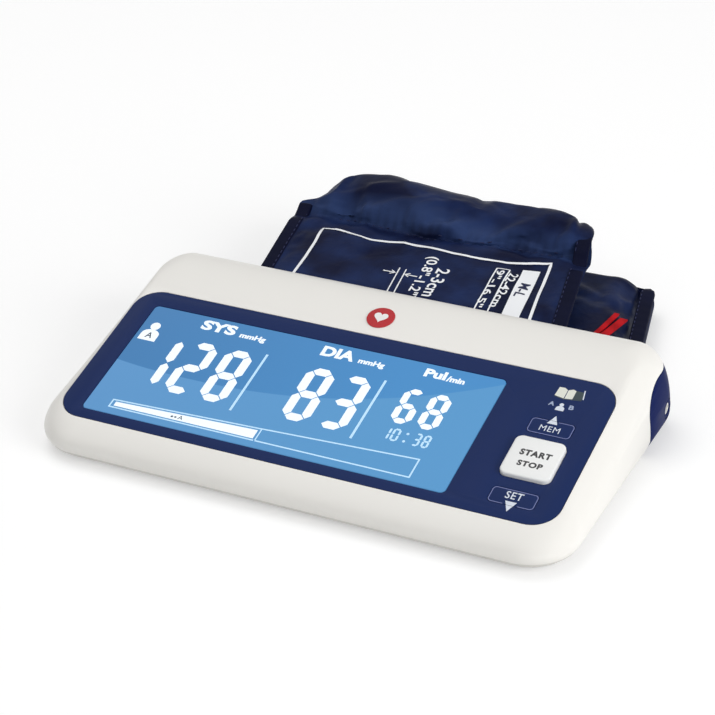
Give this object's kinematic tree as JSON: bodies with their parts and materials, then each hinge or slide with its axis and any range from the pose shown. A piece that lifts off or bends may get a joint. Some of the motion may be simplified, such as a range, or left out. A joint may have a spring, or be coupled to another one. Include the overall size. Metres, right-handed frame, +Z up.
{
  "type": "digital blood pressure monitor",
  "caption": "Desktop wedge-shaped blood pressure monitor with a tilted blue display, start, memory and set keys, battery door, side sockets, and a folded arm cuff kept in a bay across its rear.",
  "frame": {"origin": "middle of the whole, cuff included, on the table surface under the feet", "axes": "+X to the right for someone reading the display, +Y to the rear where the cuff comes out, +Z up"},
  "size_m": [0.2094, 0.197, 0.0388],
  "materials": {
    "white_shell": "satin moulded plastic",
    "navy_housing": "satin moulded plastic",
    "cover_grey": "fine matt moulded plastic",
    "navy_panel": "printed sheet, semi gloss",
    "clear_window": "clear, polished",
    "display_blue": "lit blue display",
    "light_guide": "milky light guide",
    "key_white": "satin moulded plastic",
    "board_green": "coated board",
    "black_plastic": "moulded plastic",
    "bare_steel": "plated steel",
    "pump_white": "moulded plastic",
    "silicone": "soft milky tube",
    "cell_wrap": "plain wrap",
    "foot_rubber": "matt",
    "navy_nylon": "coated nylon with a soft sheen",
    "red_webbing": "woven tape"
  },
  "bodies": {
    "housing": {"top_shell": "white_shell", "rear_housing": "navy_housing", "bottom_cover": "cover_grey", "front_panel": "navy_panel", "display_window": "clear_window", "display_glass": "display_blue", "display_backlight": "light_guide", "main_board": "board_green", "start_switch": "black_plastic", "mem_switch": "black_plastic", "set_switch": "black_plastic", "pressure_sensor": "black_plastic", "buzzer": "black_plastic", "pump_motor": "bare_steel", "pump_head": "pump_white", "release_valve": "bare_steel", "air_manifold": "cover_grey", "air_socket": "cover_grey", "power_socket": "black_plastic", "air_tube": "silicone", "pump_tube": "silicone", "valve_tube": "silicone", "sensor_tube": "silicone", "battery_1": "cell_wrap", "battery_2": "cell_wrap", "battery_3": "cell_wrap", "battery_4": "cell_wrap", "contact_spring_1": "bare_steel", "contact_spring_2": "bare_steel", "contact_plate_1": "bare_steel", "contact_plate_2": "bare_steel", "screw_1": "bare_steel", "screw_2": "bare_steel", "screw_3": "bare_steel", "screw_4": "bare_steel", "foot_1": "foot_rubber", "foot_2": "foot_rubber", "foot_3": "foot_rubber", "foot_4": "foot_rubber"},
    "start_stop_button": {"start_stop_button": "key_white"},
    "mem_key": {"mem_key": "navy_panel"},
    "set_key": {"set_key": "navy_panel"},
    "battery_door": {"battery_door": "cover_grey"},
    "cuff": {"cuff_upper": "navy_nylon", "cuff_lower": "navy_nylon", "cuff_tab": "red_webbing"}
  },
  "joints": [
    {"name": "start_stop_press", "type": "slide", "parent": "housing", "child": "start_stop_button", "axis": [0, 0.247, -0.969], "range_m": [0, 0.0007], "stiffness_N_per_m": 2500},
    {"name": "mem_press", "type": "slide", "parent": "housing", "child": "mem_key", "axis": [0, 0.247, -0.969], "range_m": [0, 0.0005], "stiffness_N_per_m": 3000},
    {"name": "set_press", "type": "slide", "parent": "housing", "child": "set_key", "axis": [0, 0.247, -0.969], "range_m": [0, 0.0005], "stiffness_N_per_m": 3000},
    {"name": "battery_door_hinge", "type": "hinge", "parent": "housing", "child": "battery_door", "pos_m": [-0.03655, -0.01575, 0.001], "axis": [1, 0, 0], "range_deg": [0, 85]},
    {"name": "cuff_slide", "type": "slide", "parent": "housing", "child": "cuff", "axis": [0, 1, 0], "range_m": [-0.004, 0.02]}
  ]
}
